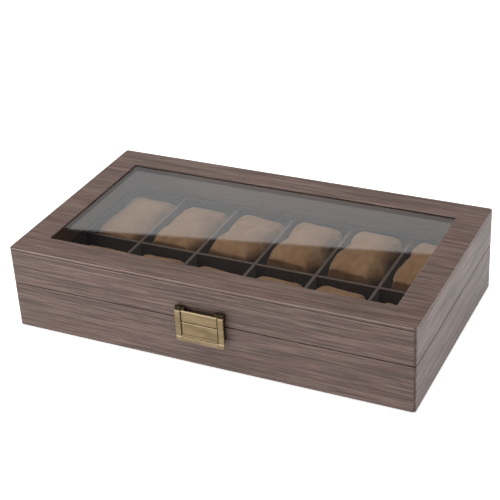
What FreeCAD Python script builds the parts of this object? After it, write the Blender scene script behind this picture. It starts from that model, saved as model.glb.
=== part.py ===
import FreeCAD, Part
import math
import os
import re

import Sketcher

# A twelve-place watch box: a tray base with dividers and twelve pillows, a glazed lid on two
# butt hinges, and a bail latch on the front.
#
# The frame: origin in the middle of the underside, +X to the right, +Y to the back, +Z up.
# Every size below is in millimetres.

DIMENSIONS = [
    # The two shells
    ("box_width", 320.0, "outside, left to right"),
    ("box_depth", 180.0, "outside, front to back"),
    ("box_height", 69.0, "underside of the felt to the top face"),
    ("base_height", 38.3, "underside of the felt to the rim of the base"),
    ("parting_gap", 0.3, "rim of the base to the rim of the closed lid"),
    ("wall", 8.0, "thickness of the wrapped boards that make the walls"),
    ("corner_radius", 2.5, "rounding of the four upright corners"),
    ("edge_round", 0.7, "rounding of the long edges of the walls"),
    # The floor of the base
    ("felt_thickness", 1.0, "felt under the base"),
    ("felt_inset", 2.0, "felt edge inside the outer faces"),
    ("bottom_board", 4.0, "board between the walls of the base"),
    ("floor_pad", 1.0, "padded card on the bottom board"),
    # The tray
    ("card", 2.4, "thickness of linings and dividers"),
    ("lining_drop", 0.3, "top of the linings below the rim"),
    ("divider_drop", 0.9, "top of the dividers below the rim"),
    ("lap_clearance", 0.05, "each side of a divider in its slot"),
    ("divider_clearance", 0.1, "ends of a divider to the linings"),
    # The lid
    ("frame_board", 2.6, "thickness of the top frame"),
    ("frame_edge_round", 0.9, "rounding of the top frame's upper edges"),
    ("frame_under_round", 0.5, "rounding under the top frame's outer edge"),
    ("side_rail", 22.0, "window edge to the outer face, left and right"),
    ("end_rail", 23.5, "window edge to the outer face, front and back"),
    ("window_radius", 1.0, "corners of the window"),
    ("glass", 2.0, "thickness of the glass"),
    ("glass_rebate", 1.5, "rebate under the top frame that takes the glass, up into the board"),
    ("glass_clearance", 0.5, "edge of the glass to the walls"),
    ("bead_width", 4.0, "strip that holds the glass, across"),
    ("bead_height", 3.5, "strip that holds the glass, down"),
    ("bead_round", 2.5, "rounded lower edge of that strip"),
    # The pillows
    ("pillow_height", 40.5, "pillow, bottom to crown"),
    ("pillow_gap", 0.8, "pillow to the cards round it"),
    ("pillow_lift", 0.2, "underside of a pillow over the floor pad"),
    ("pillow_bend", 13.0, "rounding where the strap turns round the pillow"),
    ("pillow_end_round", 6.0, "rounding of the pillow's two ends"),
    # The hinges
    ("hinge_place", 100.0, "middle of the box to the middle of a hinge"),
    ("hinge_length", 30.0, "leaf, along the box"),
    ("leaf_depth", 6.2, "leaf, into the rim"),
    ("leaf_thickness", 1.0, "sheet of the leaves"),
    ("leaf_clearance", 0.1, "leaf edge to its recess"),
    ("knuckle_radius", 1.85, "outside of the rolled knuckles"),
    ("knuckle_clearance", 0.25, "knuckles to the back face"),
    ("knuckle_gap", 0.15, "between neighbouring knuckles"),
    ("hinge_pin_radius", 0.9, "pin of a hinge"),
    ("pin_clearance", 0.04, "round a pin, on the radius"),
    ("pin_head", 0.5, "pin beyond the outer knuckles, each end"),
    ("screw_place", 9.0, "middle of a hinge to its screws"),
    ("screw_head_radius", 1.7, "countersunk head"),
    ("screw_head_depth", 0.9, "countersunk head, down"),
    ("screw_radius", 0.9, "shank of a screw"),
    ("screw_length", 9.0, "screw with its head"),
    # The latch
    ("plate_half", 14.3, "half the width of the raised plates"),
    ("plate_proud", 4.4, "raised plates, out from the front face"),
    ("plate_sheet", 1.2, "sheet of the raised plates"),
    ("plate_round", 0.6, "rounding of the raised plates"),
    ("plate_height", 9.0, "raised plate on the lid, up from its lower edge"),
    ("plate_overhang", 3.4, "raised plates beyond the block behind them"),
    ("plate_setback", 0.1, "plates to the rims of the lid and the base"),
    ("keeper_height", 11.6, "raised plate on the base"),
    ("lip_proud", 4.8, "hook along the keeper's lower edge, out from the front face"),
    ("lip_height", 1.6, "hook along the keeper's lower edge, up"),
    ("flange_inset", 0.5, "nailing flanges inside the outer edges of the bail"),
    ("flange_thickness", 0.8, "nailing flanges"),
    ("flange_height", 7.0, "nailing flange on the lid"),
    ("keeper_flange_height", 10.0, "nailing flange on the base"),
    ("slit", 0.5, "raised plates to the bars of the bail"),
    ("side_bar", 4.5, "side bar of the bail, across"),
    ("foot_bar", 4.0, "bottom bar of the bail, down"),
    ("foot_clearance", 0.4, "bottom bar of the bail below the keeper's hook"),
    ("bail_thickness", 1.7, "bars of the bail, front to back"),
    ("bail_over", 0.6, "front of the bail over the raised plates"),
    ("bail_round", 0.8, "rounding of the bail's front edges"),
    ("arm_drop", 0.5, "top of the side bars below the pivot"),
    ("bail_corner", 1.5, "outer lower corners of the bail"),
    ("pivot_rise", 9.8, "bail pivot over the lid's lower rim"),
    ("eye_radius", 1.75, "eyes of the bail"),
    ("eye_clearance", 0.25, "eyes of the bail to the front face"),
    ("pivot_pin_radius", 0.8, "pins of the bail"),
    ("lug_width", 2.6, "lug of the lid plate, across"),
    ("lug_radius", 1.4, "round top of that lug"),
    ("nail_radius", 0.5, "shank of a latch nail"),
    ("nail_head_radius", 1.0, "head of a latch nail"),
    ("nail_head", 0.45, "head of a latch nail, out from the flange"),
    ("nail_length", 6.0, "latch nail in the wall"),
]

COLUMNS = 6
ROWS = {"front": -1, "back": 1}
SIDES = {"left": -1, "right": 1}

doc = FreeCAD.newDocument("watch_box")
sheet = doc.addObject("Spreadsheet::Sheet", "dims")
for row, (name, size, meaning) in enumerate(DIMENSIONS, start=1):
    sheet.set(f"A{row}", meaning)
    sheet.set(f"B{row}", str(size))
    sheet.setAlias(f"B{row}", name)
doc.recompute()

ALIAS = re.compile(r"\b(" + "|".join(name for name, _, _ in DIMENSIONS) + r")\b")
ORIGIN_POINT = (-1, 1)
START, END = 1, 2
TOLERANCE = 1e-4

pieces = []


# ---------------------------------------------------------------- tools

def linked(expression):
    """The expression with each dimension named through the sheet."""
    return ALIAS.sub(r"dims.\1", str(expression))


def number(expression):
    """What the expression comes to now."""
    return float(sheet.evalExpression(linked(expression)))


def bind(thing, properties):
    for name, expression in properties.items():
        thing.setExpression(name, linked(expression))


def place(thing, x="0", y="0", z="0"):
    bind(thing, {"Placement.Base.x": x, "Placement.Base.y": y, "Placement.Base.z": z})
    return thing


def piece(thing):
    """Marks a finished object as one sub-part of the box."""
    pieces.append(thing)
    return thing


def block(label, low, size):
    """A plain board, from its lowest corner and its size."""
    board = doc.addObject("Part::Box", label)
    bind(board, dict(zip(("Length", "Width", "Height"), size)))
    return place(board, *low)


def rod(label, radius, length, start, along):
    """A cylinder from the middle of one end, along X, Y or Z."""
    cylinder = doc.addObject("Part::Cylinder", label)
    axis = {"x": FreeCAD.Vector(1, 0, 0), "y": FreeCAD.Vector(0, 1, 0), "z": FreeCAD.Vector(0, 0, 1)}[along]
    turn = FreeCAD.Rotation(FreeCAD.Vector(0, 0, 1), axis)
    cylinder.Placement = FreeCAD.Placement(FreeCAD.Vector(), turn)
    bind(cylinder, {"Radius": radius, "Height": length})
    return place(cylinder, *start)


def fused(label, shapes):
    joined = doc.addObject("Part::MultiFuse", label)
    joined.Shapes = shapes
    joined.Refine = True
    return joined


def cut(label, base, tools):
    drilled = doc.addObject("Part::Cut", label)
    drilled.Base = base
    drilled.Tool = grouped(f"{label}_cutters", tools)
    return drilled


def grouped(label, shapes):
    group = doc.addObject("Part::Compound", label)
    group.Links = shapes
    return group


def body(label):
    return doc.addObject("PartDesign::Body", label)


def arc(start, end, radius):
    """The short counterclockwise arc from start to end."""
    chord = end - start
    half = chord.Length / 2
    rise = math.sqrt(max(radius * radius - half * half, 0.0))
    left = FreeCAD.Vector(-chord.y, chord.x, 0).normalize()
    centre = start + chord / 2 + left * rise
    angles = [math.atan2(point.y - centre.y, point.x - centre.x) for point in (start, end)]
    circle = Part.Circle(centre, FreeCAD.Vector(0, 0, 1), radius)
    return Part.ArcOfCircle(circle, *angles)


def rounded(low, high, radius):
    """A rectangle with round corners, as a counterclockwise loop of corners."""
    (left, bottom), (right, top) = low, high
    return [
        (f"{left} + {radius}", bottom), (f"{right} - {radius}", bottom, radius),
        (right, f"{bottom} + {radius}"), (right, f"{top} - {radius}", radius),
        (f"{right} - {radius}", top), (f"{left} + {radius}", top, radius),
        (left, f"{top} - {radius}"), (left, f"{bottom} + {radius}", radius),
    ]


def rectangle(low, high):
    (left, bottom), (right, top) = low, high
    return [(left, bottom), (right, bottom), (right, top), (left, top)]


def add_loop(drawing, loop):
    """A closed loop. Each corner is (x, y), or (x, y, radius) where an arc leaves it."""
    points = [FreeCAD.Vector(number(corner[0]), number(corner[1]), 0) for corner in loop]
    first = drawing.GeometryCount
    for place_in_loop, corner in enumerate(loop):
        start = points[place_in_loop]
        end = points[(place_in_loop + 1) % len(loop)]
        if len(corner) == 3:
            edge = arc(start, end, number(corner[2]))
        else:
            edge = Part.LineSegment(start, end)
        drawing.addGeometry(edge, False)
    for place_in_loop, corner in enumerate(loop):
        this_edge = first + place_in_loop
        next_edge = first + (place_in_loop + 1) % len(loop)
        drawing.addConstraint(Sketcher.Constraint("Coincident", this_edge, END, next_edge, START))
        point = points[place_in_loop]
        fix(drawing, Sketcher.Constraint("DistanceX", *ORIGIN_POINT, this_edge, START, point.x), corner[0])
        fix(drawing, Sketcher.Constraint("DistanceY", *ORIGIN_POINT, this_edge, START, point.y), corner[1])
        if len(corner) == 3:
            fix(drawing, Sketcher.Constraint("Radius", this_edge, number(corner[2])), corner[2])


def add_circle(drawing, centre, radius):
    middle = FreeCAD.Vector(number(centre[0]), number(centre[1]), 0)
    edge = drawing.addGeometry(Part.Circle(middle, FreeCAD.Vector(0, 0, 1), number(radius)), False)
    fix(drawing, Sketcher.Constraint("DistanceX", *ORIGIN_POINT, edge, 3, middle.x), centre[0])
    fix(drawing, Sketcher.Constraint("DistanceY", *ORIGIN_POINT, edge, 3, middle.y), centre[1])
    fix(drawing, Sketcher.Constraint("Radius", edge, number(radius)), radius)


def fix(drawing, constraint, expression):
    """Adds a constraint whose value follows the expression."""
    index = drawing.addConstraint(constraint)
    drawing.setExpression(f"Constraints[{index}]", linked(expression))


def sketch(owner, name, plane, offset, loops=(), circles=()):
    """A sketch on one of the body's own origin planes, moved along its normal.

    The normal is +Z for XY_Plane, -Y for XZ_Plane and +X for YZ_Plane.
    """
    drawing = owner.newObject("Sketcher::SketchObject", f"{owner.Label}_{name}")
    support = next(feature for feature in owner.Origin.OriginFeatures if feature.Role == plane)
    drawing.AttachmentSupport = [(support, "")]
    drawing.MapMode = "FlatFace"
    bind(drawing, {"AttachmentOffset.Base.z": offset})
    for loop in loops:
        add_loop(drawing, loop)
    for centre, radius in circles:
        add_circle(drawing, centre, radius)
    return drawing


def pad(owner, drawing, length, both_ways=False):
    feature = owner.newObject("PartDesign::Pad", f"{drawing.Label}_pad")
    feature.Profile = drawing
    feature.Midplane = both_ways
    bind(feature, {"Length": length})
    doc.recompute()
    return feature


def pocket(owner, drawing, depth, along_normal=False, both_ways=False):
    """Cuts against the sketch's normal, or along it, and makes sure that something was cut."""
    before = owner.Shape.Volume
    feature = owner.newObject("PartDesign::Pocket", f"{drawing.Label}_pocket")
    feature.Profile = drawing
    feature.Midplane = both_ways
    feature.Reversed = along_normal
    bind(feature, {"Length": depth})
    doc.recompute()
    if owner.Shape.Volume > before - TOLERANCE:
        raise RuntimeError(f"{drawing.Label} cut nothing")
    return feature


def fillet(owner, name, radius, chosen):
    """Rounds the edges of the body whose vertices all pass the test."""
    tip = owner.Tip
    edges = [f"Edge{index}" for index, edge in enumerate(tip.Shape.Edges, start=1)
             if all(chosen(vertex.Point) for vertex in edge.Vertexes)]
    if not edges:
        raise RuntimeError(f"no edge to round on {owner.Label}")
    feature = owner.newObject("PartDesign::Fillet", f"{owner.Label}_{name}")
    feature.Base = (tip, edges)
    bind(feature, {"Radius": radius})
    doc.recompute()
    return feature


def near(value, target):
    return abs(value - target) < TOLERANCE


# ---------------------------------------------------------------- places that pieces share

HALF_WIDTH = "box_width / 2"
HALF_DEPTH = "box_depth / 2"
INNER_HALF_WIDTH = "(box_width / 2 - wall)"
INNER_HALF_DEPTH = "(box_depth / 2 - wall)"
FLOOR = "(felt_thickness + bottom_board + floor_pad)"
LID_RIM = "(base_height + parting_gap)"
FRAME_UNDERSIDE = "(box_height - frame_board)"
GLASS_UNDERSIDE = "(box_height - frame_board + glass_rebate - glass)"
CELL_WIDTH = f"((box_width - 2 * wall - {COLUMNS + 1} * card) / {COLUMNS})"
CELL_DEPTH = "((box_depth - 2 * wall - 3 * card) / 2)"
LINING_TOP = "(base_height - lining_drop)"
DIVIDER_TOP = "(base_height - divider_drop)"
LAP = f"(({FLOOR} + {DIVIDER_TOP}) / 2)"
HINGE_OFFSET = "(knuckle_radius + knuckle_clearance)"
HINGE_AXIS_Y = f"({HALF_DEPTH} + {HINGE_OFFSET})"
HINGE_AXIS_Z = "(base_height + parting_gap / 2)"
BAIL_INNER = "(plate_half + slit)"
BAIL_OUTER = "(plate_half + slit + side_bar)"
BAIL_GAP = "(plate_proud + bail_over - bail_thickness)"
PIVOT_Y = f"(-{HALF_DEPTH} - eye_radius - eye_clearance)"
PIVOT_Z = f"({LID_RIM} + pivot_rise)"
FLANGE_HALF = f"({BAIL_OUTER} - flange_inset)"
NAIL_PLACE = f"(({BAIL_INNER} + {BAIL_OUTER}) / 2)"
KEEPER_TOP = "(base_height - plate_setback)"
KEEPER_FOOT = f"({KEEPER_TOP} - keeper_height)"
LID_PLATE_FOOT = f"({LID_RIM} + plate_setback)"
KEEPER_NAIL_Z = f"({KEEPER_TOP} - keeper_flange_height / 2)"
LID_NAIL_Z = f"({LID_PLATE_FOOT} + flange_height / 2)"


def cross_place(index):
    """X of the cross divider with this number, counted from the left."""
    return f"(({index} - {COLUMNS / 2}) * ({CELL_WIDTH} + card))"


def column_place(index):
    """X of the middle of the column with this number, counted from the left."""
    return f"(({index} - {(COLUMNS + 1) / 2}) * ({CELL_WIDTH} + card))"


def screw_places():
    """X of the two screws of each hinge."""
    return [f"({side} * hinge_place + {end} * screw_place)" for side in SIDES.values() for end in (-1, 1)]


# ---------------------------------------------------------------- walls

def wall_board(label, half_length, reach, turn, bottom, top, inner_rim):
    """One mitred wall, with half of each rounded corner. It is drawn as a front wall and turned."""
    board = body(label)
    mitre_in = "corner_radius * (1 - sqrt(0.5))"
    inside = f"-({reach}) + wall"
    outline = [
        (f"-({half_length}) + corner_radius", f"-({reach})"),
        (f"{half_length} - corner_radius", f"-({reach})", "corner_radius"),
        (f"{half_length} - {mitre_in}", f"-({reach}) + {mitre_in}"),
        (f"{half_length} - wall", inside),
        (f"-({half_length}) + wall", inside),
        (f"-({half_length}) + {mitre_in}", f"-({reach}) + {mitre_in}", "corner_radius"),
    ]
    pad(board, sketch(board, "plan", "XY_Plane", bottom, [outline]), f"{top} - {bottom}")
    outer_limit = -number(reach) + number("corner_radius")
    ends = (number(bottom), number(top))
    rim = number(inner_rim)

    def long_edge(point):
        on_outside = point.y < outer_limit and any(near(point.z, end) for end in ends)
        on_rim = near(point.y, number(inside)) and near(point.z, rim)
        return on_outside or on_rim

    fillet(board, "edges", "edge_round", long_edge)
    board.Placement = FreeCAD.Placement(FreeCAD.Vector(), FreeCAD.Rotation(FreeCAD.Vector(0, 0, 1), turn))
    return piece(board)


def walls(shell, bottom, top, inner_rim):
    """The four walls of one shell, by the side they stand on."""
    made = {}
    for side, turn in {"front": 0, "right": 90, "back": 180, "left": 270}.items():
        lengthwise = side in ("front", "back")
        half_length = HALF_WIDTH if lengthwise else HALF_DEPTH
        reach = HALF_DEPTH if lengthwise else HALF_WIDTH
        label = f"{shell}_{side}_wall"
        made[side] = wall_board(label, half_length, reach, turn, bottom, top, inner_rim)
    return made


def let_in_leaves(board, rim, upwards):
    """The recesses for the two hinge leaves in a back wall, and the holes for their screws."""
    half = "(hinge_length / 2 + leaf_clearance)"
    recesses = []
    for side in SIDES.values():
        low = (f"{side} * hinge_place - {half}", f"-({HALF_DEPTH}) - edge_round")
        high = (f"{side} * hinge_place + {half}", f"-({HALF_DEPTH}) + leaf_depth + leaf_clearance")
        recesses.append(rectangle(low, high))
    pocket(board, sketch(board, "recess", "XY_Plane", rim, recesses), "leaf_thickness", upwards)
    holes = [((x, f"-({HALF_DEPTH}) + leaf_depth / 2"), "screw_radius") for x in screw_places()]
    pocket(board, sketch(board, "screws", "XY_Plane", rim, circles=holes), "screw_length", upwards)


def drill_for_nails(board, height):
    """The two holes for latch nails in a front wall."""
    holes = [((f"{side} * {NAIL_PLACE}", height), "nail_radius") for side in SIDES.values()]
    pocket(board, sketch(board, "nails", "XZ_Plane", HALF_DEPTH, circles=holes), "nail_length")


def shells():
    base = walls("base", "felt_thickness", "base_height", "base_height")
    let_in_leaves(base["back"], "base_height", upwards=False)
    drill_for_nails(base["front"], KEEPER_NAIL_Z)
    lid = walls("lid", LID_RIM, FRAME_UNDERSIDE, LID_RIM)
    let_in_leaves(lid["back"], LID_RIM, upwards=True)
    drill_for_nails(lid["front"], LID_NAIL_Z)


# ---------------------------------------------------------------- floor and tray

def base_floor():
    felt = body("base_felt")
    low = (f"-{HALF_WIDTH} + felt_inset", f"-{HALF_DEPTH} + felt_inset")
    high = (f"{HALF_WIDTH} - felt_inset", f"{HALF_DEPTH} - felt_inset")
    drawing = sketch(felt, "plan", "XY_Plane", "0", [rounded(low, high, "corner_radius")])
    pad(felt, drawing, "felt_thickness")
    piece(felt)
    corner = (f"-{INNER_HALF_WIDTH}", f"-{INNER_HALF_DEPTH}")
    size = (f"2 * {INNER_HALF_WIDTH}", f"2 * {INNER_HALF_DEPTH}")
    piece(block("base_bottom_board", (*corner, "felt_thickness"), (*size, "bottom_board")))
    piece(block("tray_floor_pad", (*corner, "felt_thickness + bottom_board"), (*size, "floor_pad")))


def linings():
    """Four cards round the inside of the base: the long ones run through, the short ones fit between."""
    height = f"{LINING_TOP} - {FLOOR}"
    left = f"-{INNER_HALF_WIDTH}"
    for side, y in {"front": f"-{INNER_HALF_DEPTH}", "back": f"{INNER_HALF_DEPTH} - card"}.items():
        piece(block(f"tray_{side}_lining", (left, y, FLOOR), (f"2 * {INNER_HALF_WIDTH}", "card", height)))
    short = f"2 * ({INNER_HALF_DEPTH} - card)"
    for side, x in {"left": left, "right": f"{INNER_HALF_WIDTH} - card"}.items():
        start = (x, f"-{INNER_HALF_DEPTH} + card", FLOOR)
        piece(block(f"tray_{side}_lining", start, ("card", short, height)))


def dividers():
    """One long divider with slots from the top, and cross dividers with a slot from below."""
    slot = "(card / 2 + lap_clearance)"
    end = f"({INNER_HALF_WIDTH} - card - divider_clearance)"
    outline = [(f"-{end}", FLOOR), (end, FLOOR), (end, DIVIDER_TOP)]
    for index in range(COLUMNS - 1, 0, -1):
        x = cross_place(index)
        outline += [(f"{x} + {slot}", DIVIDER_TOP), (f"{x} + {slot}", LAP)]
        outline += [(f"{x} - {slot}", LAP), (f"{x} - {slot}", DIVIDER_TOP)]
    outline.append((f"-{end}", DIVIDER_TOP))
    long_divider = body("divider_long")
    pad(long_divider, sketch(long_divider, "face", "XZ_Plane", "0", [outline]), "card", both_ways=True)
    piece(long_divider)
    end = f"({INNER_HALF_DEPTH} - card - divider_clearance)"
    outline = [
        (f"-{end}", FLOOR), (f"-{slot}", FLOOR), (f"-{slot}", LAP), (slot, LAP), (slot, FLOOR),
        (end, FLOOR), (end, DIVIDER_TOP), (f"-{end}", DIVIDER_TOP),
    ]
    for index in range(1, COLUMNS):
        cross = body(f"divider_cross_{index}")
        pad(cross, sketch(cross, "face", "YZ_Plane", "0", [outline]), "card", both_ways=True)
        piece(place(cross, x=cross_place(index)))


def pillow(label, x, y):
    """A closed block for one pillow: round where the strap turns, and rounded at its two ends."""
    cushion = body(label)
    half_depth = f"({CELL_DEPTH} / 2 - pillow_gap)"
    half_height = "(pillow_height / 2)"
    low = (f"-{half_depth}", f"-{half_height}")
    section = rounded(low, (half_depth, half_height), "pillow_bend")
    width = f"({CELL_WIDTH} - 2 * pillow_gap)"
    pad(cushion, sketch(cushion, "section", "YZ_Plane", "0", [section]), width, both_ways=True)
    half_width = number(width) / 2
    fillet(cushion, "ends", "pillow_end_round", lambda point: near(abs(point.x), half_width))
    return piece(place(cushion, x, y, f"{FLOOR} + pillow_lift + pillow_height / 2"))


def pillows():
    for row, side in ROWS.items():
        y = f"{side} * ({CELL_DEPTH} + card) / 2"
        for index in range(1, COLUMNS + 1):
            pillow(f"pillow_{row}_{index}", column_place(index), y)


# ---------------------------------------------------------------- lid

def top_frame():
    """One board with the window, rebated underneath as far as the walls for the glass."""
    frame = body("lid_top_frame")
    outer = rounded((f"-{HALF_WIDTH}", f"-{HALF_DEPTH}"), (HALF_WIDTH, HALF_DEPTH), "corner_radius")
    reach_x = f"({HALF_WIDTH} - side_rail)"
    reach_y = f"({HALF_DEPTH} - end_rail)"
    window = rounded((f"-{reach_x}", f"-{reach_y}"), (reach_x, reach_y), "window_radius")
    pad(frame, sketch(frame, "plan", "XY_Plane", FRAME_UNDERSIDE, [outer, window]), "frame_board")
    top = number("box_height")
    underside = number(FRAME_UNDERSIDE)
    fillet(frame, "upper_edges", "frame_edge_round", lambda point: near(point.z, top))
    limit_x = number(reach_x) + TOLERANCE
    limit_y = number(reach_y) + TOLERANCE

    def outer_underside(point):
        outside_window = abs(point.x) > limit_x or abs(point.y) > limit_y
        return near(point.z, underside) and outside_window

    fillet(frame, "under_edge", "frame_under_round", outer_underside)
    low = (f"-{INNER_HALF_WIDTH}", f"-{INNER_HALF_DEPTH}")
    rebate = rectangle(low, (INNER_HALF_WIDTH, INNER_HALF_DEPTH))
    pocket(frame, sketch(frame, "rebate", "XY_Plane", FRAME_UNDERSIDE, [rebate]), "glass_rebate", True)
    piece(frame)


def glazing():
    start = (f"-{INNER_HALF_WIDTH} + glass_clearance", f"-{INNER_HALF_DEPTH} + glass_clearance")
    size = (f"2 * ({INNER_HALF_WIDTH} - glass_clearance)", f"2 * ({INNER_HALF_DEPTH} - glass_clearance)")
    piece(block("lid_glass", (*start, GLASS_UNDERSIDE), (*size, "glass")))
    for side, turn in {"front": 0, "right": 90, "back": 180, "left": 270}.items():
        lengthwise = side in ("front", "back")
        reach = INNER_HALF_DEPTH if lengthwise else INNER_HALF_WIDTH
        length = f"2 * {INNER_HALF_WIDTH}" if lengthwise else f"2 * ({INNER_HALF_DEPTH} - bead_width)"
        glass_bead(f"glass_bead_{side}", reach, length, turn)


def glass_bead(label, reach, length, turn):
    """A strip along one wall under the glass, with its free lower edge rounded."""
    bead = body(label)
    outside = f"-({reach})"
    inside = f"-({reach}) + bead_width"
    foot = f"{GLASS_UNDERSIDE} - bead_height"
    section = [
        (outside, foot), (f"{inside} - bead_round", foot, "bead_round"),
        (inside, f"{foot} + bead_round"), (inside, GLASS_UNDERSIDE), (outside, GLASS_UNDERSIDE),
    ]
    pad(bead, sketch(bead, "section", "YZ_Plane", "0", [section]), length, both_ways=True)
    bead.Placement = FreeCAD.Placement(FreeCAD.Vector(), FreeCAD.Rotation(FreeCAD.Vector(0, 0, 1), turn))
    return piece(bead)


# ---------------------------------------------------------------- hinges

KNUCKLE = "((hinge_length - 2 * knuckle_gap) / 3)"


def screw(label, x, rim, direction):
    """One countersunk screw, its head flush with the rim, driven along direction (-1 down, 1 up)."""
    y = f"{HALF_DEPTH} - leaf_depth / 2"
    head = doc.addObject("Part::Cone", f"{label}_head")
    bind(head, {"Height": "screw_head_depth"})
    if direction < 0:
        bind(head, {"Radius1": "screw_radius", "Radius2": "screw_head_radius"})
        place(head, x, y, f"{rim} - screw_head_depth")
        shank_start = f"{rim} - screw_length"
    else:
        bind(head, {"Radius1": "screw_head_radius", "Radius2": "screw_radius"})
        place(head, x, y, rim)
        shank_start = f"{rim} + screw_head_depth"
    shank = rod(f"{label}_shank", "screw_radius", "screw_length - screw_head_depth", (x, y, shank_start), "z")
    return fused(label, [head, shank])


def leaf(label, side, owner, rim, direction, knuckles, screws):
    """One leaf: a plate let into the rim, and rolled knuckles behind the back face."""
    middle = f"{side} * hinge_place"
    plate_z = f"{rim} - leaf_thickness" if direction < 0 else rim
    start = (f"{middle} - hinge_length / 2", f"{HALF_DEPTH} - leaf_depth", plate_z)
    solids = [block(f"{label}_plate", start, ("hinge_length", "leaf_depth", "leaf_thickness"))]
    for index in knuckles:
        x = f"{middle} - hinge_length / 2 + {index} * ({KNUCKLE} + knuckle_gap)"
        size = (KNUCKLE, HINGE_OFFSET, "leaf_thickness")
        solids.append(block(f"{label}_web_{index}", (x, HALF_DEPTH, plate_z), size))
        axis = (x, HINGE_AXIS_Y, HINGE_AXIS_Z)
        solids.append(rod(f"{label}_knuckle_{index}", "knuckle_radius", KNUCKLE, axis, "x"))
    axis = (f"{middle} - hinge_length / 2", HINGE_AXIS_Y, HINGE_AXIS_Z)
    bore = rod(f"{label}_bore", "hinge_pin_radius + pin_clearance", "hinge_length", axis, "x")
    return piece(cut(label, fused(f"{label}_blank", solids), [bore, *screws]))


def hinges():
    for owner, rim, direction, knuckles in (("base", "base_height", -1, (0, 2)), ("lid", LID_RIM, 1, (1,))):
        screws = [screw(f"{owner}_screw_{index}", x, rim, direction)
                  for index, x in enumerate(screw_places(), start=1)]
        for place_in_list, (name, side) in enumerate(SIDES.items()):
            own_screws = screws[2 * place_in_list:2 * place_in_list + 2]
            leaf(f"hinge_{name}_{owner}_leaf", side, owner, rim, direction, knuckles, own_screws)
        piece(grouped(f"hinge_{owner}_screws", screws))
    for name, side in SIDES.items():
        start = (f"{side} * hinge_place - hinge_length / 2 - pin_head", HINGE_AXIS_Y, HINGE_AXIS_Z)
        piece(rod(f"hinge_{name}_pin", "hinge_pin_radius", "hinge_length + 2 * pin_head", start, "x"))


# ---------------------------------------------------------------- latch

def latch_nails(label, height):
    """Two small nails through a flange into the front wall."""
    nails = []
    for name, side in SIDES.items():
        x = f"{side} * {NAIL_PLACE}"
        head_start = (x, f"-{HALF_DEPTH} - flange_thickness - nail_head", height)
        head = rod(f"{label}_{name}_head", "nail_head_radius", "nail_head", head_start, "y")
        shank_start = (x, f"-{HALF_DEPTH} - flange_thickness", height)
        shank_length = "flange_thickness + nail_length"
        shank = rod(f"{label}_{name}_shank", "nail_radius", shank_length, shank_start, "y")
        nails.append(fused(f"{label}_{name}", [head, shank]))
    piece(grouped(label, nails))


def plate(label, raised_span, block_span, flange_span, nail_height):
    """A raised sheet that overhangs a block, on a thinner nailing flange flat on the front face."""
    made = body(label)
    raised = rectangle(("-plate_half", raised_span[0]), ("plate_half", raised_span[1]))
    sheet_back = f"{HALF_DEPTH} + plate_proud - plate_sheet"
    pad(made, sketch(made, "raised", "XZ_Plane", sheet_back, [raised]), "plate_sheet")
    front = -number(f"{HALF_DEPTH} + plate_proud")
    fillet(made, "front_edges", "plate_round", lambda point: near(point.y, front))
    inner = "(plate_half - plate_overhang)"
    stand = rectangle((f"-{inner}", block_span[0]), (inner, block_span[1]))
    pad(made, sketch(made, "stand", "XZ_Plane", HALF_DEPTH, [stand]), "plate_proud - plate_sheet")
    flange = rectangle((f"-{FLANGE_HALF}", flange_span[0]), (FLANGE_HALF, flange_span[1]))
    pad(made, sketch(made, "flange", "XZ_Plane", HALF_DEPTH, [flange]), "flange_thickness")
    holes = [((f"{side} * {NAIL_PLACE}", nail_height), "nail_radius") for side in SIDES.values()]
    drawing = sketch(made, "nail_holes", "XZ_Plane", f"{HALF_DEPTH} + flange_thickness", circles=holes)
    pocket(made, drawing, "flange_thickness")
    return made


def keeper():
    """The lower plate, with the hook along its foot that the bail's bottom bar goes under."""
    raised_span = (KEEPER_FOOT, KEEPER_TOP)
    block_span = (f"{KEEPER_FOOT} + plate_overhang / 2", KEEPER_TOP)
    flange_span = (f"{KEEPER_TOP} - keeper_flange_height", KEEPER_TOP)
    made = plate("latch_keeper", raised_span, block_span, flange_span, KEEPER_NAIL_Z)
    lip = rectangle(("-plate_half", KEEPER_FOOT), ("plate_half", f"{KEEPER_FOOT} + lip_height"))
    sheet_back = f"{HALF_DEPTH} + plate_proud - plate_sheet"
    lip_depth = "lip_proud - plate_proud + plate_sheet"
    pad(made, sketch(made, "lip", "XZ_Plane", sheet_back, [lip]), lip_depth)
    piece(made)
    latch_nails("latch_keeper_nails", KEEPER_NAIL_Z)


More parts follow.
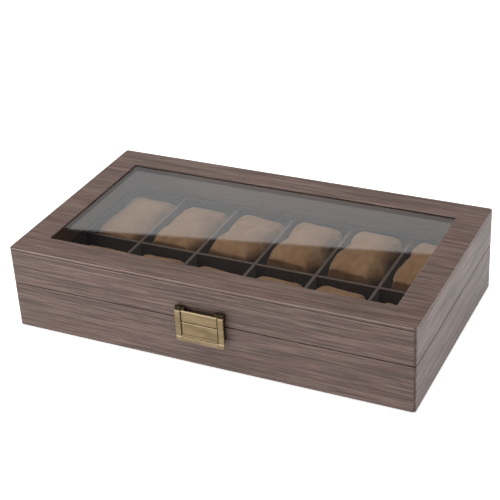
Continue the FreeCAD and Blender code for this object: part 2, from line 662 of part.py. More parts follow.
def lid_plate():
    """The upper plate, with two lugs that hold the pins of the bail."""
    raised_span = (LID_PLATE_FOOT, f"{LID_PLATE_FOOT} + plate_height")
    block_span = (LID_PLATE_FOOT, f"{LID_PLATE_FOOT} + plate_height - plate_overhang")
    flange_span = (LID_PLATE_FOOT, f"{LID_PLATE_FOOT} + flange_height")
    made = plate("latch_lid_plate", raised_span, block_span, flange_span, LID_NAIL_Z)
    inner = "plate_half - lug_width"
    blocks = []
    for side in SIDES.values():
        ends = sorted((f"{side} * ({inner})", f"{side} * plate_half"), key=number)
        low = (ends[0], f"{LID_PLATE_FOOT} + plate_height / 2")
        blocks.append(rectangle(low, (ends[1], PIVOT_Z)))
    pad(made, sketch(made, "lugs", "XZ_Plane", HALF_DEPTH, blocks), "eye_radius + eye_clearance")
    centre = (PIVOT_Y, PIVOT_Z)
    for name, offset in {"left": "-plate_half", "right": inner}.items():
        drawing = sketch(made, f"{name}_barrel", "YZ_Plane", offset, circles=[(centre, "lug_radius")])
        pad(made, drawing, "lug_width")
    bore = sketch(made, "bore", "YZ_Plane", "0", circles=[(centre, "pivot_pin_radius")])
    pocket(made, bore, "2 * plate_half", both_ways=True)
    piece(made)
    latch_nails("latch_lid_nails", LID_NAIL_Z)
    pins = []
    for name, start in {"left": f"-{BAIL_OUTER}", "right": inner}.items():
        at = (start, PIVOT_Y, PIVOT_Z)
        pins.append(rod(f"pivot_pin_{name}", "pivot_pin_radius", "lug_width + slit + side_bar", at, "x"))
    piece(grouped("latch_pivot_pins", pins))


def bail():
    """A U of three bars round both plates. It hangs from its two eyes and swings out and up."""
    made = body("latch_bail")
    inner = BAIL_INNER
    outer = BAIL_OUTER
    foot_top = f"({KEEPER_FOOT} - foot_clearance)"
    foot = f"({foot_top} - foot_bar)"
    arm_top = f"({PIVOT_Z} - arm_drop)"
    outline = [
        (f"-{outer} + bail_corner", foot), (f"{outer} - bail_corner", foot, "bail_corner"),
        (outer, f"{foot} + bail_corner"), (outer, arm_top), (inner, arm_top), (inner, foot_top),
        (f"-{inner}", foot_top), (f"-{inner}", arm_top), (f"-{outer}", arm_top),
        (f"-{outer}", f"{foot} + bail_corner", "bail_corner"),
    ]
    pad(made, sketch(made, "bars", "XZ_Plane", f"{HALF_DEPTH} + {BAIL_GAP}", [outline]), "bail_thickness")
    front = -number(f"{HALF_DEPTH} + {BAIL_GAP} + bail_thickness")
    fillet(made, "front_edges", "bail_round", lambda point: near(point.y, front))
    centre = (PIVOT_Y, PIVOT_Z)
    arm_low = (f"-{HALF_DEPTH} - {BAIL_GAP} - bail_thickness / 2", f"{PIVOT_Z} - eye_radius")
    arm = rectangle(arm_low, (PIVOT_Y, f"{PIVOT_Z} - eye_radius / 2"))
    for name, offset in {"left": f"-{outer}", "right": inner}.items():
        drawing = sketch(made, f"{name}_eye", "YZ_Plane", offset, circles=[(centre, "eye_radius")])
        pad(made, drawing, "side_bar")
        pad(made, sketch(made, f"{name}_arm", "YZ_Plane", offset, [arm]), "side_bar")
    bore = sketch(made, "bore", "YZ_Plane", "0", circles=[(centre, "pivot_pin_radius + pin_clearance")])
    pocket(made, bore, f"2 * {outer}", both_ways=True)
    piece(made)


# ---------------------------------------------------------------- the whole box

def check():
    """Stops on any failed object, and on any sub-part without a valid solid."""
    for thing in doc.Objects:
        if "Invalid" in thing.State or "Error" in thing.State:
            raise RuntimeError(f"{thing.Label} failed: {thing.State}")
    for thing in pieces:
        if thing.Shape.isNull() or not thing.Shape.isValid() or not thing.Shape.Solids:
            raise RuntimeError(f"{thing.Label} has no valid solid")


def main():
    shells()
    base_floor()
    linings()
    dividers()
    pillows()
    top_frame()
    glazing()
    hinges()
    keeper()
    lid_plate()
    bail()
    doc.recompute()
    check()
    os.makedirs("parts", exist_ok=True)
    for thing in pieces:
        thing.Shape.exportStep(f"parts/{thing.Label}.step")


main()
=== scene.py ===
import math
import random

import bmesh
import bpy
from mathutils import Matrix, Vector, noise


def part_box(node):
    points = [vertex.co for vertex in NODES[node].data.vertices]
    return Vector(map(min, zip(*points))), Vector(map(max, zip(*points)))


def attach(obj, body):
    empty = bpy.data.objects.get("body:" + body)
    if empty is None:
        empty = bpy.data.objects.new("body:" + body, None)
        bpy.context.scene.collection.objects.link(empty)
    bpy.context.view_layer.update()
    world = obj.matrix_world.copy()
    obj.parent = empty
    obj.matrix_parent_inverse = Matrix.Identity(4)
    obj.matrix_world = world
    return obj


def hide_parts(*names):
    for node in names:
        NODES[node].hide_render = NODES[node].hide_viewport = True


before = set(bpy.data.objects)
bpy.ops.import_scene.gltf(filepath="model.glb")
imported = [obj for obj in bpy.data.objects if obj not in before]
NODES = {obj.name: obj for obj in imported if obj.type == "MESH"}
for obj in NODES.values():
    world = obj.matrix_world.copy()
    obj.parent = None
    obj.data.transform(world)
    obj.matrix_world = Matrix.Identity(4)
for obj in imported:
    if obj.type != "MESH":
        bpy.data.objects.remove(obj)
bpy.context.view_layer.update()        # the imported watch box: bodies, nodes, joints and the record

# The looks of a twelve-place watch box. Everything is in metres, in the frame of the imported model:
# origin in the middle of the underside, +X to the right, +Y to the back, +Z up.

MM = 0.001
OUTER_HALF = Vector(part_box("lid_top_frame")[1])    # from the box's middle to its outer faces
scene = bpy.context.scene


# ---------------------------------------------------------------- colours and node materials

def srgb(red, green, blue):
    """An opaque colour from its 0 to 255 display values."""
    def linear(value):
        share = value / 255
        return share / 12.92 if share <= 0.04045 else ((share + 0.055) / 1.055) ** 2.4
    return (linear(red), linear(green), linear(blue), 1.0)


class Shader:
    """A material made of nodes. Inputs are values or the sockets of earlier nodes."""

    def __init__(self, name):
        self.material = bpy.data.materials.new(name)
        self.material.use_nodes = True
        self.tree = self.material.node_tree
        self.tree.nodes.clear()

    def node(self, kind, inputs=None, **settings):
        made = self.tree.nodes.new(kind)
        for name, value in settings.items():
            setattr(made, name, value)
        for name, value in (inputs or {}).items():
            socket = made.inputs[name]
            if isinstance(value, bpy.types.NodeSocket):
                self.tree.links.new(value, socket)
            else:
                socket.default_value = value
        return made

    def position(self):
        """Where a point is on the object, in metres."""
        return self.node("ShaderNodeTexCoord").outputs["Object"]

    def stretched(self, vector, scale):
        return self.node("ShaderNodeVectorMath", {0: vector, 1: scale}, operation="MULTIPLY").outputs[0]

    def moved(self, vector, other):
        return self.node("ShaderNodeVectorMath", {0: vector, 1: other}, operation="ADD").outputs[0]

    def axis(self, vector, name):
        return self.node("ShaderNodeSeparateXYZ", {0: vector}).outputs[name]

    def noise(self, vector, scale=1.0, detail=3.0, roughness=0.5, distortion=0.0):
        inputs = {"Vector": vector, "Scale": scale, "Detail": detail,
                  "Roughness": roughness, "Distortion": distortion}
        return self.node("ShaderNodeTexNoise", inputs).outputs["Fac"]

    def warped(self, vector, scale, reach):
        """The position pushed about by a slow noise, at most reach each way."""
        push = self.node("ShaderNodeTexNoise", {"Vector": vector, "Scale": scale, "Detail": 2.0})
        centred = self.moved(push.outputs["Color"], (-0.5, -0.5, -0.5))
        return self.moved(vector, self.stretched(centred, tuple(2 * value for value in reach)))

    def math(self, operation, first, second=0.0, third=0.0):
        inputs = {0: first, 1: second, 2: third}
        return self.node("ShaderNodeMath", inputs, operation=operation).outputs[0]

    def between(self, value, low, high, to_low=0.0, to_high=1.0):
        """The value from low to high as to_low to to_high, held at the ends."""
        inputs = {"Value": value, "From Min": low, "From Max": high, "To Min": to_low, "To Max": to_high}
        return self.node("ShaderNodeMapRange", inputs).outputs["Result"]

    def blend(self, factor, first, second):
        made = self.node("ShaderNodeMix", data_type="RGBA")
        for index, value in ((0, factor), (6, first), (7, second)):
            if isinstance(value, bpy.types.NodeSocket):
                self.tree.links.new(value, made.inputs[index])
            else:
                made.inputs[index].default_value = value
        return made.outputs[2]

    def ramp(self, factor, stops):
        made = self.node("ShaderNodeValToRGB", {"Fac": factor})
        elements = made.color_ramp.elements
        elements[0].position, elements[0].color = stops[0]
        elements[1].position, elements[1].color = stops[-1]
        for place, colour in stops[1:-1]:
            elements.new(place).color = colour
        return made.outputs["Color"]

    def bump(self, height, distance, strength=1.0, edge_round=0.0):
        inputs = {"Height": height, "Distance": distance, "Strength": strength}
        if edge_round:
            inputs["Normal"] = self.node("ShaderNodeBevel", {"Radius": edge_round}, samples=8).outputs[0]
        return self.node("ShaderNodeBump", inputs).outputs["Normal"]

    def show(self, shader):
        self.node("ShaderNodeOutputMaterial", {"Surface": shader.outputs[0]})
        return self.material

    def surface(self, **inputs):
        """A Principled surface. Underscores in the names stand for spaces."""
        named = {name.replace("_", " "): value for name, value in inputs.items()}
        return self.show(self.node("ShaderNodeBsdfPrincipled", named))


# ---------------------------------------------------------------- wood-grain leatherette

GRAIN_DARK = srgb(61, 46, 41)
GRAIN_MID = srgb(95, 74, 67)
GRAIN_LIGHT = srgb(125, 104, 95)
GRAIN_ROSE = srgb(106, 78, 73)
GRAIN_OLIVE = srgb(93, 81, 66)
# pale wrap for the band below the rim, partly stretched wrap and partly painted highlight, and for the
# painted light inside the lid
GRAIN_PALE_AND_LIT = srgb(178, 154, 142)
# painted shade for the grooves at the boards' feet and for the window's reveal
GRAIN_SHADE = srgb(44, 32, 28)
EDGE_BAND = 0.55 * MM    # how far the paler band reaches from an outer edge: partly stretched wrap, partly painted highlight
WINDOW_HALF = Vector((138.0, 66.5)) * MM    # from the box's middle to the window's edges
REVEAL_TOP = 0.3 * MM    # how far below the top face the painted shade, over a dark-stained cut edge, in the window's reveal begins
REVEAL_FADE = 0.2 * MM
INSIDE = 7.5 * MM        # how far in from the outer faces the painted light inside the lid begins
FOOT_SHADE = 0.85 * MM         # painted shade along a board's foot, in the groove where it meets the piece below


def wood_wrap(name, along, foot, rim, rim_stretch_and_highlight, painted_light_inside):
    """The wrap on boards from foot to rim, with its grain along one axis.

    It is paler over the upper outer edge, partly stretched wrap and partly a painted highlight, and paler
    inside the box with painted light, each by its weight; it has painted shade in the groove at the foot
    and over the dark-stained cut edge in the window's reveal.
    """
    shader = Shader(name)
    still = shader.position()

    def grain_scale(lengthwise, across):
        return tuple(lengthwise if axis == along else across for axis in "XYZ")

    place = shader.warped(still, 9.0, grain_scale(0.0, 0.5 * MM))
    bands = shader.noise(shader.stretched(place, grain_scale(7.0, 190.0)), detail=3.0, roughness=0.6)
    streaks = shader.noise(shader.stretched(place, grain_scale(20.0, 860.0)), detail=4.0, roughness=0.75)
    pores = shader.noise(shader.stretched(place, grain_scale(70.0, 1500.0)), detail=2.0, roughness=0.6)
    hue = shader.noise(shader.stretched(place, grain_scale(9.0, 120.0)), detail=2.0)
    tone = shader.math("MULTIPLY_ADD", bands, 0.22, shader.math("MULTIPLY", streaks, 0.78))
    colour = shader.ramp(tone, [(0.4, GRAIN_DARK), (0.5, GRAIN_MID), (0.6, GRAIN_LIGHT)])
    tint = shader.ramp(hue, [(0.4, GRAIN_ROSE), (0.6, GRAIN_OLIVE)])
    colour = shader.blend(0.24, colour, tint)
    pore_mask = shader.between(pores, 0.54, 0.68, 0.0, 0.5)
    colour = shader.blend(pore_mask, colour, GRAIN_DARK)
    aside_x = shader.math("ABSOLUTE", shader.axis(still, "X"))
    aside_y = shader.math("ABSOLUTE", shader.axis(still, "Y"))
    beyond_x = shader.between(aside_x, OUTER_HALF.x - EDGE_BAND, OUTER_HALF.x)
    beyond_y = shader.between(aside_y, OUTER_HALF.y - EDGE_BAND, OUTER_HALF.y)
    outside = shader.math("MAXIMUM", beyond_x, beyond_y)
    # painted light: the wrap inside the lid is painted paler, as if lit through the window
    deep_x = shader.between(aside_x, OUTER_HALF.x - INSIDE, OUTER_HALF.x - 1.1 * INSIDE)
    deep_y = shader.between(aside_y, OUTER_HALF.y - INSIDE, OUTER_HALF.y - 1.1 * INSIDE)
    inside = shader.math("MULTIPLY", shader.math("MINIMUM", deep_x, deep_y), painted_light_inside)
    colour = shader.blend(inside, colour, GRAIN_PALE_AND_LIT)
    level = shader.axis(still, "Z")
    # the band just below the rim on the outer faces: partly the paler stretched wrap, partly a painted
    # highlight
    rim_band = shader.math("MULTIPLY", outside, shader.between(level, rim - 1.5 * EDGE_BAND, rim - EDGE_BAND))
    colour = shader.blend(shader.math("MULTIPLY", rim_band, rim_stretch_and_highlight), colour, GRAIN_PALE_AND_LIT)
    # painted shade in the groove along the board's foot, on the outer faces
    foot_shade = shader.between(level, foot + FOOT_SHADE, foot + 0.7 * FOOT_SHADE)
    # painted shade in the window's reveal, over a dark-stained cut edge
    within_x = shader.between(aside_x, WINDOW_HALF.x + REVEAL_TOP, WINDOW_HALF.x)
    within_y = shader.between(aside_y, WINDOW_HALF.y + REVEAL_TOP, WINDOW_HALF.y)
    sunk = shader.between(level, rim - REVEAL_TOP, rim - REVEAL_TOP - REVEAL_FADE)
    reveal = shader.math("MULTIPLY", shader.math("MINIMUM", within_x, within_y), sunk)
    dark = shader.math("MAXIMUM", shader.math("MULTIPLY", outside, foot_shade), reveal)
    colour = shader.blend(dark, colour, GRAIN_SHADE)
    height = shader.math("SUBTRACT", streaks, shader.math("MULTIPLY", pores, 0.6))
    return shader.surface(
        Base_Color=colour, Roughness=shader.between(streaks, 0.3, 0.7, 0.5, 0.38), Specular_IOR_Level=0.35,
        Normal=shader.bump(height, 0.12 * MM, 0.3))


def dark_suedette(name, colour, top_highlight, edge_low, edge_high):
    """Dark brushed cloth over card, with a painted highlight on the top edges above edge_low, where light
    falls on them.
    """
    shader = Shader(name)
    place = shader.position()
    nap = shader.noise(place, 260.0, 3.0)
    fibre = shader.noise(place, 2600.0, 2.0)
    height = shader.axis(place, "Z")
    # painted highlight: the tops are paler because light falls on them
    top_lit = shader.between(height, edge_low, edge_high)
    paler = (1.5 * colour[0], 1.5 * colour[1], 1.5 * colour[2], 1.0)
    shade = shader.blend(shader.between(nap, 0.3, 0.7, 0.0, 0.5), colour, paler)
    shade = shader.blend(top_lit, shade, top_highlight)
    return shader.surface(
        Base_Color=shade, Roughness=0.92, Specular_IOR_Level=0.2, Sheen_Weight=0.25, Sheen_Roughness=0.5,
        Normal=shader.bump(fibre, 0.15 * MM, 0.4))


def suede(name, seed):
    """Tan brushed suedette: mottled nap, short fibres and a soft sheen."""
    shader = Shader(name)
    place = shader.moved(shader.position(), (0.37 * seed, 0.21 * seed, 0.0))
    mottle = shader.noise(place, 55.0, 3.0, 0.55, 0.6)
    brushed = shader.noise(shader.stretched(place, (220.0, 90.0, 160.0)), 1.0, 3.0)
    fibre = shader.noise(place, 2300.0, 3.0, 0.6)
    tone = shader.math("MULTIPLY_ADD", mottle, 0.5, shader.math("MULTIPLY", brushed, 0.5))
    shades = [(0.24, srgb(108, 81, 57)), (0.5, srgb(134, 105, 78)), (0.76, srgb(152, 124, 97))]
    colour = shader.ramp(tone, shades)
    colour = shader.blend(shader.between(fibre, 0.35, 0.75, 0.0, 0.35), colour, srgb(98, 72, 48))
    return shader.surface(
        Base_Color=colour, Roughness=0.9, Specular_IOR_Level=0.25, Sheen_Weight=0.35, Sheen_Roughness=0.45,
        Sheen_Tint=srgb(235, 210, 180), Normal=shader.bump(fibre, 0.25 * MM, 0.5))


def aged_brass(name, colour, patina, shaded_behind=None, ears=None, highlight_heights=()):
    """Dulled brass: brushed lines and brown patina.

    It is painted black as shade behind the given depth and painted dark as shade above the height ears,
    and has a painted highlight just below each of the given heights.
    """
    shader = Shader(name)
    place = shader.position()
    lines = shader.noise(shader.stretched(place, (140.0, 2600.0, 2200.0)), detail=2.0)
    patches = shader.noise(shader.stretched(place, (60.0, 160.0, 130.0)), detail=4.0, roughness=0.6)
    shade = shader.blend(shader.between(patches, 0.38, 0.7, 0.0, 0.6), colour, patina)
    shade = shader.blend(shader.between(lines, 0.3, 0.7, 0.0, 0.3), shade, patina)
    level = shader.axis(place, "Z")
    # painted highlight: a bright band just below each given height, for the light an edge catches
    for height in highlight_heights:
        below = shader.between(level, height - 0.8 * MM, height - 0.5 * MM, 0.0, 0.6)
        line = shader.math("MULTIPLY", below, shader.between(level, height + 0.2 * MM, height + 0.1 * MM))
        shade = shader.blend(line, shade, srgb(216, 196, 158))
    # painted shade: black in the hollow behind the front face, and dark on the ears
    if shaded_behind is not None:
        behind = shader.between(shader.axis(place, "Y"), shaded_behind, shaded_behind + 0.3 * MM)
        above = shader.between(level, ears, ears + 0.3 * MM, 0.0, 0.8)
        shade = shader.blend(shader.math("MAXIMUM", behind, above), shade, srgb(38, 29, 16))
    rough = shader.math("MULTIPLY_ADD", patches, 0.3, 0.28)
    return shader.surface(
        Base_Color=shade, Metallic=0.85, Roughness=rough,
        Normal=shader.bump(lines, 0.05 * MM, 0.35, edge_round=0.35 * MM))


def pane():
    """Clear flat glass: it lets light straight through and mirrors more at a low angle."""
    shader = Shader("clear_glass")
    smears = shader.noise(shader.position(), 18.0, 3.0)
    through = shader.node("ShaderNodeBsdfTransparent", {"Color": (0.975, 0.968, 0.965, 1)})
    mirror = shader.node("ShaderNodeBsdfGlossy", {
        "Color": (1, 1, 1, 1), "Roughness": shader.between(smears, 0.3, 0.8, 0.0, 0.006)})
    slant = shader.node("ShaderNodeLayerWeight", {"Blend": 0.5}).outputs["Facing"]
    share = shader.math("MULTIPLY_ADD", shader.math("POWER", slant, 4.4), 0.96, 0.04)
    return shader.show(shader.node("ShaderNodeMixShader", {
        0: share, 1: through.outputs[0], 2: mirror.outputs[0]}))


def felt():
    shader = Shader("base_felt")
    place = shader.position()
    clumps = shader.noise(place, 320.0, 3.0)
    fibre = shader.noise(place, 3000.0, 2.0)
    colour = shader.ramp(clumps, [(0.35, srgb(30, 28, 27)), (0.65, srgb(52, 49, 46))])
    return shader.surface(
        Base_Color=colour, Roughness=0.95, Sheen_Weight=0.3, Normal=shader.bump(fibre, 0.3 * MM, 0.6))


def stained_board():
    shader = Shader("stained_board")
    place = shader.position()
    grain = shader.noise(shader.stretched(place, (10.0, 350.0, 350.0)), detail=4.0, roughness=0.6)
    colour = shader.ramp(grain, [(0.35, srgb(58, 42, 34)), (0.65, srgb(92, 70, 57))])
    return shader.surface(Base_Color=colour, Roughness=0.6, Normal=shader.bump(grain, 0.1 * MM, 0.3))


def turned_steel():
    shader = Shader("brassed_steel")
    place = shader.position()
    scratches = shader.noise(place, 1800.0, 2.0)
    colour = shader.ramp(scratches, [(0.35, srgb(140, 122, 88)), (0.65, srgb(176, 158, 120))])
    return shader.surface(
        Base_Color=colour, Metallic=1.0, Roughness=shader.between(scratches, 0.3, 0.7, 0.25, 0.45))


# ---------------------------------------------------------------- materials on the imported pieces

def dress(names, material):
    """Gives CAD nodes one material in place of their own."""
    for name in names:
        mesh = NODES[name].data
        mesh.materials.clear()
        mesh.materials.append(material)


SIDES = ("front", "back", "left", "right")
SHEET = 1.2 * MM         # the latch's plates are stamped from sheet of this thickness
BAIL_FACE = 1.7 * MM     # how far behind the bail's front face its sides are painted dark as shade
BAIL_FOOT = 4.0 * MM     # height of the bail's bottom bar


def dress_walls(part, rim_stretch_and_highlight, painted_light_inside):
    """Wraps the four walls of the base or the lid, each with its grain lengthwise."""
    foot, rim = (corner[2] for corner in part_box(f"{part}_front_wall"))
    long_wrap = wood_wrap(f"wood_wrap_{part}_lengthwise", "X", foot, rim, rim_stretch_and_highlight, painted_light_inside)
    dress([f"{part}_front_wall", f"{part}_back_wall"], long_wrap)
    cross_wrap = wood_wrap(f"wood_wrap_{part}_crosswise", "Y", foot, rim, rim_stretch_and_highlight, painted_light_inside)
    dress([f"{part}_left_wall", f"{part}_right_wall"], cross_wrap)


def dress_boards():
    dress_walls("base", rim_stretch_and_highlight=0.25, painted_light_inside=0.0)
    dress_walls("lid", rim_stretch_and_highlight=0.5, painted_light_inside=0.55)
    foot, rim = (corner[2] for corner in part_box("lid_top_frame"))
    dress(["lid_top_frame"], wood_wrap("wood_wrap_top_lengthwise", "X", foot, rim, 0.6, 0.0))
    beads = [f"glass_bead_{side}" for side in SIDES]
    dress(["base_bottom_board", *beads], stained_board())
    dress(["base_felt"], felt())
    dress(["lid_glass"], pane())


def dress_tray():
    # the second colour is a painted highlight on the divider tops
    cloth, divider_top_highlight = srgb(58, 50, 46), srgb(88, 76, 70)
    divider_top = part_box("divider_long")[1][2]
    edge_low, edge_high = divider_top - 0.6 * MM, divider_top - 0.1 * MM
    linings = [f"tray_{side}_lining" for side in SIDES]
    dividers = [name for name in NODES if name.startswith("divider_")]
    dress([*linings, *dividers], dark_suedette("tray_suedette", cloth, divider_top_highlight, edge_low, edge_high))
    floor_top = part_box("tray_floor_pad")[1][2]
    dress(["tray_floor_pad"], dark_suedette("floor_suedette", cloth, cloth, floor_top, floor_top + MM))


def dress_metal():
    brass, patina = srgb(138, 119, 90), srgb(86, 71, 48)
    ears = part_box("latch_pivot_pins")[0][2]
    plate_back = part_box("latch_lid_plate")[0][1] + SHEET
    plate_edges = (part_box("latch_keeper")[1][2], ears - 0.1 * MM)
    plates = aged_brass("antique_brass_plates", brass, patina, plate_back, ears, plate_edges)
    dress([name for name in NODES if name.startswith("latch_")], plates)
    bail_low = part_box("latch_bail")[0]
    bail_edges = (bail_low[2] + BAIL_FOOT, ears)
    bail = aged_brass("antique_brass_bail", brass, patina, bail_low[1] + BAIL_FACE, ears, bail_edges)
    dress(["latch_bail"], bail)
    hinge = aged_brass("hinge_brass", srgb(186, 158, 104), srgb(104, 82, 46))
    dress([name for name in NODES if name.startswith("hinge_") and not name.endswith("screws")], hinge)
    dress(["hinge_base_screws", "hinge_lid_screws"], turned_steel())


# ---------------------------------------------------------------- pillows

SIM_SCALE = 10.0         # the cloth is blown up at ten times its size, where the solver is steady
VOXEL = 3.2 * MM
LUMPS = 1.3 * MM         # unevenness of the filling before it is blown up
FRAMES = 20
PRESSURE = 4.0
PUFF_LIMIT = 4.0 * MM    # how far the cloth may move a point
SECTION_POWER = 2.4      # 2 gives an oval section, more gives a squarer one
ENDS_POWER = 7.0         # how flat the crown stays before it falls away to the ends
SEAM_SETBACK = 3.5 * MM  # seams inside the two ends
SEAM_DEPTH = 0.5 * MM
SEAM_WIDTH = 0.9 * MM
PUCKER_PITCH = 7.0 * MM
PUCKER_DEPTH = 0.3 * MM
SLUMP = 7.0 * MM         # how much higher the front is filled than the back
FRONT_FILL = 0.16        # share by which the upper front stands further forward
ENDS_FLARE = 0.34        # share by which the ends are deeper, front to back, than the middle
WAIST = 3.4 * MM         # how far the ends are drawn in between their corners
WAIST_PLACE = 0.1        # the waist's middle, as a share of the half depth behind the pillow's own
WAIST_REACH = 0.4
CORNER_FILL = 5.0 * MM   # how far the front corners are pushed out
BACK_SHARE = 0.7         # the back corners' share of that
CRUMPLE = 0.6 * MM
LOWERED = 2.5 * MM       # how far the round underside is pushed past the floor before it is cut flat
SIDE_GAP = 0.3 * MM
SETTLE = {
    "back": (-4.2, -4.0, -2.8, 0.4, 1.6, 0.4),
    "front": (-7.4, -6.6, -7.6, -5.6, -3.6, -9.5)}    # each crown against its CAD solid's, in mm


def plump(half, cells):
    """A closed loaf of even quads, oval across and barrelled along X."""
    mesh = bmesh.new()
    bmesh.ops.create_cube(mesh, size=2.0)
    bmesh.ops.subdivide_edges(mesh, edges=mesh.edges[:], cuts=cells, use_grid_fill=True)
    for vertex in mesh.verts:
        x, y, z = (abs(value) for value in vertex.co)
        across = (y ** SECTION_POWER + z ** SECTION_POWER) ** (ENDS_POWER / SECTION_POWER)
        reach = (across + x ** ENDS_POWER) ** (-1 / ENDS_POWER)
        vertex.co = Vector(vertex.co[axis] * reach * half[axis] for axis in range(3))
    return mesh


def clamp(value, limit):
    return max(-limit, min(limit, value))


def as_object(name, mesh):
    data = bpy.data.meshes.new(name)
    mesh.to_mesh(data)
    mesh.free()
    made = bpy.data.objects.new(name, data)
    scene.collection.objects.link(made)
    return made


def replace_mesh(shape, modifier_type, **settings):
    """Applies one modifier for good."""
    modifier = shape.modifiers.new(modifier_type, modifier_type)
    for name, value in settings.items():
        setattr(modifier, name, value)
    settled = shape.evaluated_get(bpy.context.evaluated_depsgraph_get())
    data = bpy.data.meshes.new_from_object(settled)
    shape.modifiers.clear()
    shape.data = data


def blow_up(shape):
    """Lets the cloth puff out under pressure and caps how far each point went."""
    cloth = shape.modifiers.new("cloth", "CLOTH")
    cloth.settings.quality = 5
    cloth.settings.mass = 0.3
    cloth.settings.tension_stiffness = 12.0
    cloth.settings.compression_stiffness = 12.0
    cloth.settings.bending_stiffness = 0.4
    cloth.settings.use_pressure = True
    cloth.settings.uniform_pressure_force = PRESSURE
    cloth.settings.effector_weights.gravity = 0.0
    cloth.point_cache.frame_start = 1
    cloth.point_cache.frame_end = FRAMES
    for number in range(1, FRAMES + 1):
        scene.frame_set(number)
    settled = shape.evaluated_get(bpy.context.evaluated_depsgraph_get()).data
    limit = PUFF_LIMIT * SIM_SCALE
    for vertex, after in zip(shape.data.vertices, [point.co.copy() for point in settled.vertices]):
        move = after - vertex.co
        if move.length > limit:
            move.length = limit
        vertex.co += move
    shape.modifiers.clear()
    scene.frame_set(1)


def stuffed(half, seed):
    """One pillow's mesh round its own middle, blown up as cloth."""
    lean = random.Random(seed)
    small = Vector((half.x - 1.5 * MM, half.y - 2.0 * MM, half.z - 2.5 * MM)) * SIM_SCALE
    mesh = plump(small, 12)
    offset = Vector((lean.uniform(0, 50), lean.uniform(0, 50), 0))
    for vertex in mesh.verts:
        lump = noise.noise(vertex.co * 4.5 + offset) * LUMPS * SIM_SCALE
        vertex.co += vertex.co.normalized() * lump
    shape = as_object(f"stuffing_{seed}", mesh)
    replace_mesh(shape, "REMESH", mode="VOXEL", voxel_size=VOXEL * SIM_SCALE)
    blow_up(shape)
    replace_mesh(shape, "SUBSURF", levels=1, render_levels=1)
    for vertex in shape.data.vertices:
        vertex.co /= SIM_SCALE
    return shape


def fit_to(shape, low, high):
    """Scales the mesh to fill the space from low to high."""
    points = [vertex.co for vertex in shape.data.vertices]
    lowest = Vector(min(point[axis] for point in points) for axis in range(3))
    highest = Vector(max(point[axis] for point in points) for axis in range(3))
    for vertex in shape.data.vertices:
        share = [(vertex.co[axis] - lowest[axis]) / (highest[axis] - lowest[axis]) for axis in range(3)]
        vertex.co = Vector(low[axis] + share[axis] * (high[axis] - low[axis]) for axis in range(3))


def sew(shape, middle, half, seed):
    """Presses in the two end seams, with the small puckers that the thread pulls up beside them."""
    start = seed * 1.7
    for vertex in shape.data.vertices:
        point = vertex.co - middle
        gap = abs(abs(point.x) - (half.x - SEAM_SETBACK))
        inward = Vector((0.0, -point.y, -point.z)).normalized()
        round_it = math.atan2(point.z, point.y) * (half.y + half.z) / 2
        pucker = math.sin(2 * math.pi * round_it / PUCKER_PITCH + start)
        press = SEAM_DEPTH * math.exp(-(gap / SEAM_WIDTH) ** 2)
        press += PUCKER_DEPTH * pucker * math.exp(-(gap / (4 * SEAM_WIDTH)) ** 2)
        vertex.co += inward * press


def draw_in(shape, middle, half, waist):
    """Fills the corners out in plan, draws the ends in between them and slumps the filling forward."""
    for vertex in shape.data.vertices:
        point = vertex.co - middle
        along = point.x / half.x
        aside = point.y / half.y
        if point.z > 0:
            point.z += SLUMP * smooth(-aside) * smooth(2.5 * point.z / half.z)
            point.y *= 1 + FRONT_FILL * smooth(-3 * aside) * smooth(2.5 * point.z / half.z)
        point.y *= 1 + ENDS_FLARE * along ** 4
        fill = CORNER_FILL * smooth(1.6 * abs(aside) - 0.3) * (1.0 if aside < 0 else BACK_SHARE)
        drawn = waist * math.exp(-((aside - WAIST_PLACE) / WAIST_REACH) ** 2) - fill
        point.x -= math.copysign(drawn * abs(along) ** 2.5, point.x)
        vertex.co = middle + point


def smooth(value):
    """0 below 0, 1 above 1, and an even curve between."""
    value = max(0.0, min(1.0, value))
    return value * value * (3 - 2 * value)


def crumple(shape, middle, seed):
    """Soft dents and folds in the nap, the same each run."""
    shift = Vector((seed * 3.1, seed * 1.3, seed * 0.7))
    for vertex in shape.data.vertices:
        point = vertex.co - middle
        broad = noise.noise(point * 42 + shift)
        fold = abs(noise.noise(Vector((point.x * 95, point.y * 30, point.z * 60)) + shift * 2))
        crease = max(0.0, 1 - fold / 0.16)
        vertex.co += point.normalized() * CRUMPLE * (0.8 * broad - 0.54 * crease)


def pillow(node, variant, seed, settle, tilt):
    """One finished pillow in the place of its CAD solid."""
    low, high = (Vector(corner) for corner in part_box(node))
    middle = (low + high) / 2
    half = (high - low) / 2
    shape = variant.copy()
    shape.data = variant.data.copy()
    shape.name = node.replace("pillow", "watch_pillow")
    shape.data.name = shape.name
    scene.collection.objects.link(shape)
    if seed % 2:
        for vertex in shape.data.vertices:
            vertex.co = Vector((-vertex.co.x, -vertex.co.y, vertex.co.z))
    lowest = low + Vector((SIDE_GAP, SIDE_GAP, -LOWERED))
    fit_to(shape, lowest, high + Vector((-SIDE_GAP, -SIDE_GAP, settle)))
    draw_in(shape, middle, half, WAIST * (0.7 + 0.12 * (seed % 6)))
    turn = Matrix.Rotation(tilt[0], 3, "X") @ Matrix.Rotation(tilt[1], 3, "Y")
    for vertex in shape.data.vertices:
        vertex.co = middle + turn @ (vertex.co - middle)
    sew(shape, middle, half, seed)
    crumple(shape, middle, seed)
    for vertex in shape.data.vertices:
        vertex.co.x = middle.x + clamp(vertex.co.x - middle.x, half.x)
        vertex.co.y = middle.y + clamp(vertex.co.y - middle.y, half.y)
        vertex.co.z = max(vertex.co.z, low.z)
    for polygon in shape.data.polygons:
        polygon.use_smooth = True
    shape.data.materials.clear()
    shape.data.materials.append(suede(f"suede_{shape.name}", seed))
    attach(shape, node)
    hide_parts(node)
    return shape


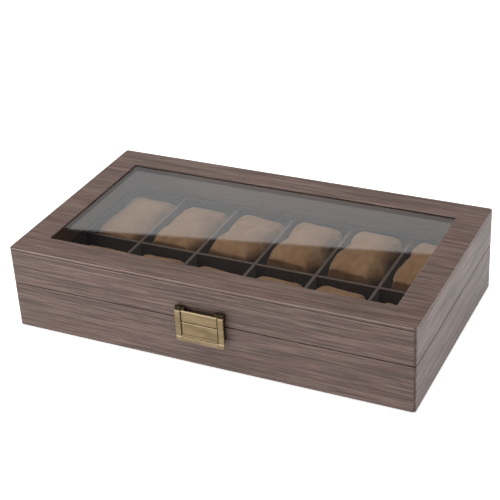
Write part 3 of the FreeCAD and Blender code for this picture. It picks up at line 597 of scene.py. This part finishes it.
def make_pillows():
    low, high = (Vector(corner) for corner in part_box("pillow_back_1"))
    half = (high - low) / 2
    variants = [stuffed(half, seed) for seed in (1, 2, 3)]
    lean = random.Random(20)
    for row, rises in SETTLE.items():
        for column, rise in enumerate(rises, start=1):
            seed = column + (6 if row == "front" else 0)
            tilt = (math.radians(lean.uniform(-1.5, 1.5)), math.radians(lean.uniform(1.2, 4.0)))
            pillow(f"pillow_{row}_{column}", variants[seed % len(variants)], seed, rise * MM, tilt)
    for variant in variants:
        bpy.data.objects.remove(variant)


# ---------------------------------------------------------------- stage, light and camera

def soft_light(name, place, aim, size, power):
    data = bpy.data.lights.new(name, "AREA")
    data.shape = "RECTANGLE"
    data.size, data.size_y = size
    data.energy = power
    lamp = bpy.data.objects.new(name, data)
    lamp.location = place
    lamp.rotation_euler = (Vector(aim) - Vector(place)).to_track_quat("-Z", "Y").to_euler()
    lamp.visible_camera = False
    scene.collection.objects.link(lamp)


def sheet_of(name, corners):
    data = bpy.data.meshes.new(name)
    data.from_pydata(corners, [], [tuple(range(len(corners)))])
    made = bpy.data.objects.new(name, data)
    scene.collection.objects.link(made)
    return made


def glowing(name, glow, albedo):
    """A matte white that also glows a little, so that it stays pale under the object."""
    shader = Shader(name)
    matte = shader.node("ShaderNodeBsdfDiffuse", {"Color": (albedo, albedo, albedo, 1)})
    light = shader.node("ShaderNodeEmission", {"Color": (1, 1, 1, 1), "Strength": glow})
    both = shader.node("ShaderNodeAddShader", {0: matte.outputs[0], 1: light.outputs[0]})
    return shader.show(both)


FLOOR_REACH = 6.0
CARD_DISTANCE = 1.6      # the card behind the box, which only the glass and the brass mirror
CARD_TURN = math.radians(-12.0)
CARD_TOP = 1.0
CARD_HALF_WIDTH = 2.2


def make_stage():
    reach = FLOOR_REACH
    corners = [(-reach, -reach, 0), (reach, -reach, 0), (reach, reach, 0), (-reach, reach, 0)]
    floor = sheet_of("floor", corners)
    floor.data.materials.append(glowing("floor_white", 0.72, 0.8))
    back = Vector((math.sin(CARD_TURN), math.cos(CARD_TURN), 0)) * CARD_DISTANCE
    along = Vector((math.cos(CARD_TURN), -math.sin(CARD_TURN), 0)) * CARD_HALF_WIDTH
    rise = Vector((0, 0, CARD_TOP))
    card = sheet_of("backdrop", [back - along, back + along, back + along + rise, back - along + rise])
    card.data.materials.append(glowing("backdrop_white", 0.8, 0.1))
    card.visible_camera = False
    world = bpy.data.worlds.new("studio")
    world.use_nodes = True
    scene.world = world
    tree = world.node_tree
    tree.nodes.clear()
    path = tree.nodes.new("ShaderNodeLightPath")
    seen = tree.nodes.new("ShaderNodeBackground")
    seen.inputs["Color"].default_value = (1, 1, 1, 1)
    lit = tree.nodes.new("ShaderNodeBackground")
    lit.inputs["Color"].default_value = (0.03, 0.03, 0.032, 1)
    mix = tree.nodes.new("ShaderNodeMixShader")
    output = tree.nodes.new("ShaderNodeOutputWorld")
    tree.links.new(path.outputs["Is Camera Ray"], mix.inputs[0])
    tree.links.new(lit.outputs[0], mix.inputs[1])
    tree.links.new(seen.outputs[0], mix.inputs[2])
    tree.links.new(mix.outputs[0], output.inputs[0])


def make_lights():
    middle = (0, 0, 0.03)
    soft_light("overhead", (-0.1, -0.2, 1.7), middle, (1.3, 1.0), 31)
    soft_light("right_box", (1.5, 0.15, 0.55), middle, (1.0, 0.9), 1.9)
    soft_light("front_left_box", (-0.7, -0.6, 0.3), middle, (0.35, 0.35), 3.5)
    scene.view_settings.view_transform = "Standard"


CAMERA_TURN = math.radians(26.52)     # round the box from the front towards +X
CAMERA_RISE = math.radians(29.54)     # up from level
CAMERA_ROLL = math.radians(-3.24)
CAMERA_DISTANCE = 1.0384
CAMERA_ASIDE = -0.0054     # along the picture's own axes, from the line through the origin
CAMERA_UP = 0.0431
FOCAL_SHARE = 2.662        # focal length over the picture's width
SENSOR = 36.0


def make_camera():
    back = Vector((math.sin(CAMERA_TURN) * math.cos(CAMERA_RISE),
                   -math.cos(CAMERA_TURN) * math.cos(CAMERA_RISE), math.sin(CAMERA_RISE)))
    right = back.cross(Vector((0, 0, -1))).normalized()
    up = back.cross(right)
    right_rolled = math.cos(CAMERA_ROLL) * right + math.sin(CAMERA_ROLL) * up
    up_rolled = -math.sin(CAMERA_ROLL) * right + math.cos(CAMERA_ROLL) * up
    data = bpy.data.cameras.new("camera")
    data.sensor_width = SENSOR
    data.lens = FOCAL_SHARE * SENSOR
    data.clip_end = 50
    camera = bpy.data.objects.new("camera", data)
    place = back * CAMERA_DISTANCE + right_rolled * CAMERA_ASIDE + up_rolled * CAMERA_UP
    turn = Matrix((right_rolled, up_rolled, back)).transposed().to_4x4()
    camera.matrix_world = Matrix.Translation(place) @ turn
    scene.collection.objects.link(camera)
    bpy.context.scene.camera = camera


dress_boards()
dress_tray()
dress_metal()
make_pillows()
make_stage()
make_lights()
make_camera()
